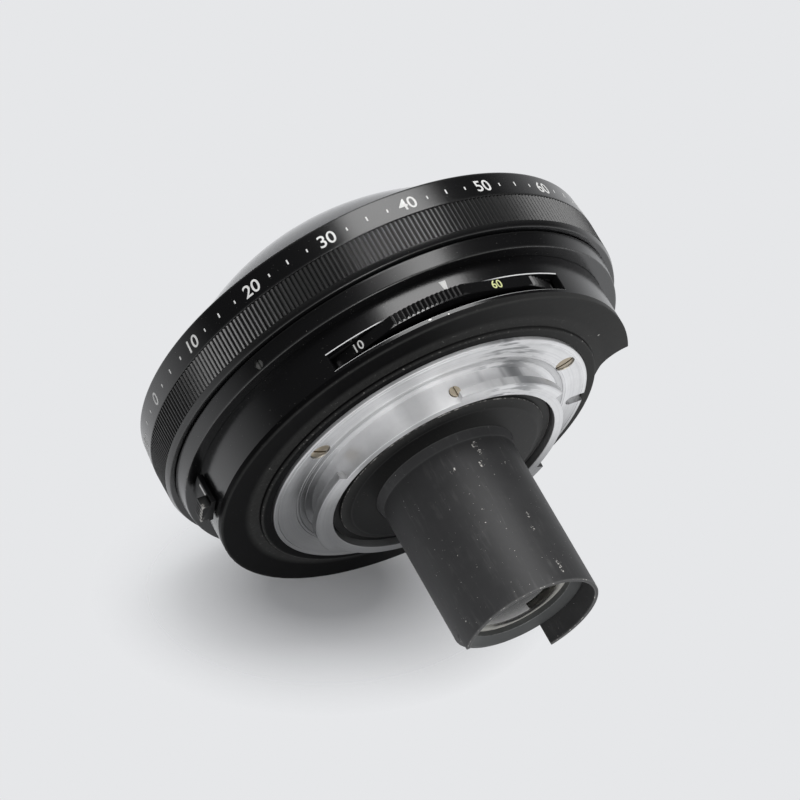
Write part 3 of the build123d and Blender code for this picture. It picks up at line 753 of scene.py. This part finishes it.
# main barrel: window for the filter wheel, slit for the lever, cut-out
barrel = {"front": -13.28, "rear": -2.9, "radius": 37.4, "frontBore": 35.0, "bore": 36.0,
          "shelf": -7.3, "windowFront": -6.7, "windowRear": -3.55, "windowHalf": 33.8, "flare": 0.2,
          "flareTurn": 0.25, "slitFrom": -37.2, "slitTo": 1.24, "slitFront": -9.75, "slitRear": -8.55,
          "pocketRear": -3.6, "cutIn": 34.5, "slitIn": 34, "cutOut": 38.5}
cutout = {"from": 167.9, "to": 234.0, "radius": 31.0, "floor": -7.3, "under": 0.6, "bend": 6.64,
          "bendAt": 178.1, "bendRadius": 37.49, "wall": 1.7, "margin": 3.0, "outside": 38.6, "rear": 0.5}


def cutoutBlocks():
    c = cutout
    centre = onCircle(c["bendRadius"], 0, c["bendAt"])
    return [sectorBlock(c["radius"], c["outside"], c["floor"], c["rear"], c["bendAt"], c["to"], 48),
            rodBlock(c["bend"], c["floor"], c["rear"], centre, (0, 1, 0), 96)]


def makeBarrel():
    b = barrel
    c = cutout
    shell = lathe("mainBarrel", [
        (b["frontBore"], b["front"]), (b["radius"], b["front"]),
        (b["radius"], b["rear"]), (b["bore"], b["rear"]), (b["bore"], b["shelf"]),
        (b["frontBore"], b["shelf"])], looks["barrel"], 288)
    pocket = sectorBlock(c["radius"] - c["wall"], b["bore"] + 0.2, c["floor"] - c["under"],
                         b["pocketRear"], c["from"] - c["margin"], c["to"] + c["margin"], 48)
    carve(shell, [pocket], "UNION")
    low, high = 90 - b["windowHalf"], 90 + b["windowHalf"]
    window = sectorBlock(b["cutIn"], b["cutOut"], b["windowFront"], b["windowRear"], low, high, 64)
    # the window's mouth is bevelled by a wider, tapered cutter
    f = b["flare"]
    inside, outside, wider = b["radius"] - f * 0.6, b["radius"] + f, f * 1.6
    mouth = lathe("cutter", [
        (inside, b["windowFront"]), (outside, b["windowFront"] - wider),
        (outside, b["windowRear"] + wider), (inside, b["windowRear"])],
        None, 64, low - b["flareTurn"], high - low + b["flareTurn"] * 2)
    slit = sectorBlock(b["slitIn"], b["cutOut"], b["slitFront"], b["slitRear"], b["slitFrom"],
                       b["slitTo"], 48)
    carve(shell, cutoutBlocks() + [window, mouth, slit])
    shell.data.materials.append(looks["rim"])
    for face in shell.data.polygons:
        # the narrow bevel of the window is painted lighter: rubbed paint, and a painted highlight line along
        # the edge
        spot = face.center / mm
        out = Vector((spot.x, 0, spot.z))
        at = math.degrees(math.atan2(spot.z, spot.x))
        steep = abs(face.normal.dot(out.normalized()))
        nearby = low - 1 < at < high + 1 and b["windowFront"] - 0.5 < spot.y < b["windowRear"] + 0.5
        if nearby and out.length > inside - 0.02 and 0.2 < steep < 0.985:
            face.material_index = 1
    place(shell, "root", "main_barrel", slot="black_enamel")


makeBarrel()

mark = {"front": -8.9, "rear": -7.25, "wide": 1.2, "narrow": 0.55, "angle": 90.0, "depth": 0.02,
        "lift": 0.012}


def makeIndex():
    r = barrel["radius"]
    half = math.degrees(mark["wide"] / 2 / r)
    shape = patch(r - mark["depth"], r + mark["lift"], mark["front"], mark["rear"],
                  mark["angle"] - half, mark["angle"] + half, 1 - mark["narrow"] / mark["wide"])
    place(gather("indexMark", [shape], looks["white"]), "root")


makeIndex()

# rear plate and boss
plate = {"rear": -1.7, "front": -2.9, "radius": 37.4, "edge": 0.22, "bore": 30.75, "lipFront": -3.4,
         "lipBore": 34.2, "lipRadius": 35.95,
         "slope": [(33.3, 0.0, 0.0, 0.0), (32.2, 0.06, 0.0, 0.56), (31.0, 0.4, 0.1, 0.68),
                   (30.75, 0.45, 0.0, 0.2)]}


def makePlate():
    p = plate
    disc = lathe("rearPlate", [
        (p["bore"], p["front"]), (p["lipBore"], p["front"]), (p["lipBore"], p["lipFront"]),
        (p["lipRadius"], p["lipFront"]), (p["lipRadius"], p["front"]), (p["radius"], p["front"]),
        (p["radius"], p["rear"], p["edge"], 0.53)]
        + [(r, p["rear"] + rise, size, worn) for r, rise, size, worn in p["slope"]], looks["worn"], 320)
    carve(disc, cutoutBlocks())
    place(disc, "root", "rear_plate", slot="black_enamel")


makePlate()

boss = {"foot": -3.6, "footRear": -2.9, "footRadius": 33.5, "radius": 30.7, "top": -0.6,
        "recess": -1.9, "recessRadius": 28.82, "bore": 13.4}


def makeBoss():
    b = boss
    body = lathe("mountBoss", [
        (b["bore"], b["foot"]), (b["footRadius"], b["foot"]),
        (b["footRadius"], b["footRear"]), (b["radius"], b["footRear"]),
        (b["radius"], b["top"], 0.3, 0.6), (b["recessRadius"], b["top"], 0.06, 0.2),
        (b["recessRadius"], b["recess"]), (b["bore"], b["recess"])], looks["worn"], 320)
    carve(body, cutoutBlocks())
    place(body, "root", "mount_boss", slot="black_enamel")


makeBoss()
print("body made")

# bright bayonet ring
mount = {"flange": 28.77, "spigot": 21.9, "lug": 23.4, "bore": 20.3, "front": -1.9, "end": 4.6,
         "lugFront": 3.1, "lugStarts": (-33.0, 88.0, 208.0), "lugArc": 60.0, "lugRoot": 0.8,
         "grooves": (23.2, 24.2, 24.7, 28.0), "grooveHalf": 0.06, "grooveDepth": 0.1,
         "screwRadius": 26.0, "screwAngle": 30.1, "screwHole": 1.76, "screwFloor": -0.9,
         "notchAngle": 181.0, "notchFrom": 26.45, "notchWidth": 2.3, "notchFloor": -1.2,
         "stopAngle": 87.8, "stopY": 2.5, "stopHole": 1.0}


def makeMount():
    m = mount
    section = [(m["bore"], m["front"]), (m["flange"], m["front"]), (m["flange"], 0, 0.22, 0.6)]
    half = m["grooveHalf"]
    for r in reversed(m["grooves"]):
        section += [(r + half, 0, 0.02, 0.2), (r, -m["grooveDepth"]), (r - half, 0, 0.02, 0.2)]
    section += [(m["spigot"] + 0.5, 0), (m["spigot"], 0.12), (m["spigot"], m["end"], 0.1, 0.5),
                (m["bore"], m["end"], 0.16, 0.8)]
    ring = lathe("bayonetRing", section, looks["turned"], 320)
    root, end = m["spigot"] - m["lugRoot"], m["end"] - 0.01
    carve(ring, [lathe("cutter", [
        (root, m["lugFront"]), (m["lug"], m["lugFront"], 0.08, 0.3), (m["lug"], end, 0.14, 0.7),
        (root, end)], looks["turned"], 56, start, m["lugArc"]) for start in m["lugStarts"]], "UNION")
    cuts = [rodBlock(m["screwHole"], m["screwFloor"], 0.6,
                     onCircle(m["screwRadius"], 0, m["screwAngle"] + 120 * k), (0, 1, 0), 48)
            for k in range(3)]
    # the lock notch: a box, open to the rim, with a round inner end
    cuts.append(boxBlock((4.0, 2.0, m["notchWidth"]), (m["notchFrom"] + 2.0, -0.2, 0), m["notchAngle"]))
    cuts.append(rodBlock(m["notchWidth"] / 2, m["notchFloor"], 0.8,
                         onCircle(m["notchFrom"], 0, m["notchAngle"]), (0, 1, 0)))
    cuts.append(rodBlock(m["stopHole"], m["spigot"] - 0.5, m["spigot"] + 2, (0, m["stopY"], 0),
                         onCircle(1, 0, m["stopAngle"]), 40))
    carve(ring, cuts)
    place(ring, "root", "bayonet_mount", slot="bright_ring")


makeMount()

screws = {"radius": 26.0, "angle": 30.1, "head": 1.7, "play": 0.02, "sink": 0.08, "floor": -0.9,
          "slot": 0.42, "slotDepth": 0.55}
stopScrew = {"radius": 0.93, "from": 21.3, "to": 22.2, "slot": (0.6, 3.0, 0.3)}


def makeMountScrews():
    s = screws
    # domed slotted head at +X, made about its own axis and moved out
    body = lathe("mountScrews", [
        (0.0, s["floor"]), (0.9, s["floor"]),
        (s["head"] - s["play"], -s["sink"] - 0.16, 0.05, 0.8), (s["head"] * 0.72, -s["sink"] - 0.02, 0, 0.3),
        (0.0, -s["sink"] + 0.04, 0, 0.2)], looks["brass"], 64)
    for v in body.data.vertices:
        v.co.x += s["radius"] * mm
    carve(body, [boxBlock((s["head"] * 3, s["slotDepth"] * 2, s["slot"]), (s["radius"], 0, 0))])
    setRound(body, 3, 120.0, s["angle"], looks["brass"])
    place(tidyMesh(body), "root", "mount_screw_1", "mount_screw_2", "mount_screw_3", slot="brass")


def makeStopScrew():
    s = stopScrew
    y, angle = mount["stopY"], mount["stopAngle"]
    stop = rodBlock(s["radius"], s["from"], s["to"], (0, y, 0), onCircle(1, 0, angle), 48)
    stop.name = stop.data.name = "stopScrew"
    stop.data.materials.append(looks["brass"])
    carve(stop, [boxBlock(s["slot"], (s["to"], y, 0), angle)])
    place(stop, "root", "stop_screw", slot="brass")


makeMountScrews()
makeStopScrew()
print("mount made")

# black well round the tube, and the long rear tube
well = {"radius": 18.6, "rimRadius": 20.0, "rim": 3.4, "edge": 3.9, "flat": 17.0, "end": 4.6,
        "middle": 4.8, "bore": 12.55, "foot": -1.9}


def makeWell():
    w = well
    body = lathe("innerHousing", [
        (w["bore"], w["foot"]), (w["rimRadius"], w["foot"]), (w["rimRadius"], w["rim"], 0.1, 0.3),
        (w["radius"], w["rim"]), (w["radius"], w["edge"], 0.2, 0.75),
        (w["flat"], w["end"], 0.12, 0.35), (w["bore"], w["middle"], 0, 0.1)], looks["well"], 256)
    place(body, "root", "inner_housing", slot="inner_black")


makeWell()

tube = {"foot": 12.5, "footEnd": 4.8, "radius": 12.03, "taper": 6.4, "end": 35.5, "seat": 29.9,
        "tail": 11.36, "bore": 10.6, "boreFront": -3.0, "front": -4.1, "lip": 7.4, "collar": 13.0,
        "collarEnd": -3.6, "notch": 31.4, "notchIn": 11.0, "notchOut": 12.6, "from": -118.0, "to": -1.0}


def makeTubePiece():
    t = tube
    body = lathe("rearTube", [
        (t["lip"], t["front"]), (t["collar"], t["front"]), (t["collar"], t["collarEnd"]),
        (t["foot"], t["collarEnd"]),
        (t["foot"], t["footEnd"], 0.1, 0.5), (t["radius"], t["taper"], 0.4, 0.3),
        (t["radius"], t["end"], 0.12, 0.9), (t["tail"], t["end"], 0.12, 0.9), (t["tail"], t["seat"]),
        (t["bore"], t["seat"]), (t["bore"], t["boreFront"]), (t["lip"], t["boreFront"])],
        looks["tube"], 192)
    carve(body, [sectorBlock(t["notchIn"], t["notchOut"], t["notch"], t["end"] + 0.6, t["from"],
                             t["to"], 48)])
    place(body, "root", "rear_tube", slot="tube_black")


makeTubePiece()

keeper = {"outer": 11.31, "inner": 9.5, "seat": 29.9, "rear": 31.8, "face": 30.85}


def makeKeeper():
    k = keeper
    body = lathe("rearRetainer", [
        (k["inner"], k["seat"]), (k["outer"], k["seat"]), (k["outer"], k["rear"], 0.1, 0.5),
        (k["inner"], k["face"], 0.08, 0.95)], looks["retainer"], 160)
    place(body, "root", "rear_retainer", slot="tube_black")


makeKeeper()
print("tube made")

# lever
lever = {"angle": -3.0, "innerRadius": 37.7, "outerRadius": 38.5, "front": -9.5, "rear": -4.1,
         "from": -7.3, "to": 1.7, "armSize": (25.0, 0.6, 4.2), "armMiddle": 25.7, "armY": -9.15,
         "knobFront": -6.2, "knobWidth": 4.5, "knobRadius": 39.9, "bevel": 0.06, "ribs": 5, "gap": 0.42,
         "gapSize": (0.5, 3.0), "lineFront": -8.3, "lineRear": -6.1, "lineWidth": 0.85, "worn": 0.95}


def makeLever():
    l = lever
    finger = lathe("leverFinger", [
        (l["innerRadius"], l["front"]), (l["outerRadius"], l["front"], 0.08, 0.2),
        (l["outerRadius"], l["rear"], 0.08, 0.2), (l["innerRadius"], l["rear"])], looks["lever"], 16,
        l["from"], l["to"] - l["from"])
    arm = boxBlock(l["armSize"], (l["armMiddle"], l["armY"], 0), l["angle"], 0, "arm", looks["lever"])
    place(joined("leverArm", [finger, arm]), "aperture", "lever_arm", slot="black_enamel")
    mid = (l["rear"] + l["knobFront"]) / 2
    height = l["knobRadius"] - l["outerRadius"] + 0.1
    knob = boxBlock((height, l["rear"] - l["knobFront"], l["knobWidth"]),
                    (l["knobRadius"] - height / 2, mid, 0), l["angle"], l["bevel"], "leverKnob",
                    looks["lever"])
    pitch = l["knobWidth"] / l["ribs"]
    gap = l["gapSize"] + (pitch * l["gap"],)
    carve(knob, [boxBlock(gap, (l["knobRadius"], mid, (k + 1 - l["ribs"] / 2) * pitch), l["angle"])
                 for k in range(l["ribs"] - 1)], sharp=crisp)
    # only the rear ends of the ribs are rubbed bare: wear, and painted glints on the rib ends
    layer = knob.data.attributes.get("wear") or knob.data.attributes.new("wear", "FLOAT", "POINT")
    rubbed = []
    for v in knob.data.vertices:
        onTop = math.hypot(v.co.x, v.co.z) / mm > l["knobRadius"] - 0.2
        rubbed.append(l["worn"] if onTop and v.co.y / mm > l["rear"] - 0.3 else 0.0)
    layer.data.foreach_set("value", rubbed)
    place(knob, "aperture", "lever_knob", slot="black_enamel")
    line = patch(l["outerRadius"] - 0.02, l["outerRadius"] + 0.015, l["lineFront"], l["lineRear"], 0.0,
                 l["lineWidth"], steps=2)
    place(gather("leverLine", [line], looks["white"]), "aperture")


makeLever()

# filter wheel labels: plain figures on the six flats
labels = {"flat": 24.62, "centreZ": 13.46, "rest": 10.2, "y": -5.52, "height": 1.55, "lime": (1, 4, 5)}


def makeLabels():
    l = labels
    shapes = {"white": [], "lime": []}
    for k in range(6):
        angle = 60 - l["rest"] - 60 * k
        out = Vector(onCircle(1, 0, angle))
        along = Vector((0, -1, 0)).cross(out)

        def spotOf(co):
            spot = Vector((0, l["y"], l["centreZ"])) + out * (l["flat"] + co.z) + along * co.x
            spot.y -= co.y
            return tuple(spot * mm)

        colour = "lime" if k in l["lime"] else "white"
        shapes[colour].append(figure(str(k + 1) + "0", l["height"], spotOf))
    for name, found in shapes.items():
        place(gather("wheelFigures" + name.capitalize(), found, looks[name]), "turret")


makeLabels()

# the dome, then glasses and inner parts that keep their CAD shapes
dome = {"radius": 47.28, "centre": 5.1, "rim": 37.5, "ledge": 36.9, "ledgeY": -23.6, "seat": -19.9,
        "bowl": 21.0, "bowlY": -16.2, "steps": 48}


def arcPoints(radius, centre, angles):
    return [(radius * math.sin(a), centre - radius * math.cos(a)) for a in angles]


def makeDome():
    d = dome
    parts = [k / d["steps"] for k in range(d["steps"] + 1)]
    edge = math.asin(d["ledge"] / d["radius"])
    mouth = math.acos((d["bowlY"] - d["seat"]) / d["bowl"])
    section = arcPoints(d["radius"], d["centre"], [edge * part for part in parts])
    section += [(d["ledge"], d["ledgeY"]), (d["rim"], d["ledgeY"]), (d["rim"], d["seat"])]
    section += arcPoints(d["bowl"], d["bowlY"], [mouth * (1 - part) for part in parts])
    body = lathe("frontElement", section, looks["dome"], 160)
    place(body, "root", "front_element", slot="lens_glass")


makeDome()


def paint(names, material):
    for name in names:
        obj = nodes[name]
        for slot in obj.material_slots:
            slot.material = material
        if not obj.material_slots:
            obj.data.materials.append(material)


def six(stem):
    return ["%s_%d" % (stem, k + 1) for k in range(6)]


paint(["front_cell", "bulkhead", "front_spacer", "long_spacer", "rear_spacer", "second_retainer",
       "iris_housing", "iris_cover", "aperture_ring"], looks["matt"])
paint(six("iris_blade"), looks["blades"])
paint(["filter_wheel"] + six("filter_keeper"), looks["enamel"])
paint(["wheel_axle", "detent_plunger", "detent_spring", "spring_screw"], looks["steel"])
paint(["second_element", "third_element", "rear_lens_front", "doublet_front", "doublet_rear"],
      looks["inner"])
paint(["rear_element"], looks["last"])
for k, (name, tint) in enumerate(zip(six("filter_glass"), filterTints)):
    paint([name], makeGlass("filterTint%d" % (k + 1), tint, dust=0.1))
print("inner parts painted")

# floor, lamps, camera: upward is the floor's normal in the part's own frame
room = {"upward": (-0.09602, -0.46788, 0.87856), "drop": 32.3, "floorHalf": 0.5,
        "spot": (13.9, -0.4, -35.4), "fade": (6.0, 40.0), "least": 0.1, "colour": (0.83, 0.838, 0.855),
        "backdrop": (0.791, 0.799, 0.815), "sky": (0.97, 0.98, 1.0), "light": 0.42, "front": 0.04,
        "turn": (0.35, 0.85), "under": (-0.2, 0.35)}
cam = {"place": (0.293375, 0.338192, 0.686727), "right": (-0.879617, 0.453006, 0.145116),
       "up": (-0.316101, -0.78463, 0.533325), "back": (0.355462, 0.423251, 0.83337), "lens": 225.432}


def makeFloor():
    up = Vector(room["upward"]).normalized()
    centre = up * -room["drop"] * mm
    across = up.orthogonal().normalized()
    other = up.cross(across)
    half = room["floorHalf"]
    verts = [centre + across * a * half + other * b * half
             for a, b in ((-1, -1), (1, -1), (1, 1), (-1, 1))]
    m = Finish("softFloor")
    # distance from the middle of the shadow, for the fade
    x, y, z = (here - middle for here, middle in zip(m.axes(), room["spot"]))
    far = (x ** 2.0 + y ** 2.0 + z ** 2.0) ** 0.5
    fade = far.ramped(*room["fade"]).atLeast(room["least"])
    behind = m.add("NewGeometry", None, None, "Backfacing")
    paper = m.add("BsdfDiffuse", None, {"Color": room["colour"] + (1.0,)})
    clear = m.add("BsdfTransparent")
    mixed = m.add("MixShader", None, {0: fade.atLeast(behind), 1: paper, 2: clear})
    floor = makeObject("floor", verts, [(0, 1, 2, 3)], m.surface(mixed))
    if floor.data.polygons[0].normal.dot(up) < 0:
        floor.data.flip_normals()


makeFloor()

# way is (right, up, towards the camera) in the picture, sizes are in metres and power in watts
lamps = {"keyLamp": {"way": (0.08, 0.88, 0.46), "distance": 0.87, "size": 0.58, "power": 4.6},
         "lowLamp": {"way": (0.43, -0.33, 0.84), "distance": 0.8, "size": 0.3, "power": 2.6}}


def makeLamp(name, lamp):
    right, up, back = lamp["way"]
    way = (Vector(cam["right"]) * right + Vector(cam["up"]) * up + Vector(cam["back"]) * back).normalized()
    data = bpy.data.lights.new(name, "AREA")
    data.energy = lamp["power"]
    data.size = lamp["size"]
    obj = linked(name, data)
    obj.location = way * lamp["distance"]
    obj.rotation_euler = way.to_track_quat("Z", "Y").to_euler()


for name, lamp in lamps.items():
    makeLamp(name, lamp)


def makeWorld():
    # plain light; the camera and the glass see a pale backdrop, gloss a room that is dark in front
    world = bpy.data.worlds.new("paleRoom")
    bpy.context.scene.world = world
    world.use_nodes = True
    tree = world.node_tree
    tree.nodes.clear()
    camera, through, gloss = (addNode(tree, "ShaderNodeLightPath", output="Is %s Ray" % kind)
                              for kind in ("Camera", "Transmission", "Glossy"))
    sky = addNode(tree, "ShaderNodeTexCoord", output="Generated")

    def towards(way):
        return addNode(tree, "ShaderNodeVectorMath", {"operation": "DOT_PRODUCT"},
                       {0: sky, 1: [-c for c in way]}, "Value")

    def flat(colour, strength):
        return addNode(tree, "ShaderNodeBackground", None, {0: tuple(colour) + (1.0,), 1: strength})

    def mixed(factor, low, high):
        return addNode(tree, "ShaderNodeMixShader", None, {0: factor, 1: low, 2: high})

    below = towards(room["upward"]).ramped(*room["under"])
    away = towards(cam["back"]).ramped(*room["turn"]).atLeast(below)
    show = flat(room["backdrop"], 1.0)
    mirrored = mixed(away, flat(room["backdrop"], room["front"]), show)
    result = mixed(gloss, flat(room["sky"], room["light"]), mirrored)
    result = mixed(camera.atLeast(through), result, show)
    out = tree.nodes.new("ShaderNodeOutputWorld")
    tree.links.new(result.socket, out.inputs[0])


makeWorld()


def makeCamera():
    data = bpy.data.cameras.new("photoCamera")
    data.lens = cam["lens"]
    data.sensor_width = 36.0
    data.clip_start = 0.01
    obj = linked("photoCamera", data)
    turn = Matrix([cam[k] for k in ("right", "up", "back")]).transposed().to_4x4()
    turn.translation = Vector(cam["place"])
    obj.matrix_world = turn
    bpy.context.scene.camera = obj


makeCamera()
bpy.context.scene.view_settings.view_transform = "Standard"

print("scene ready")
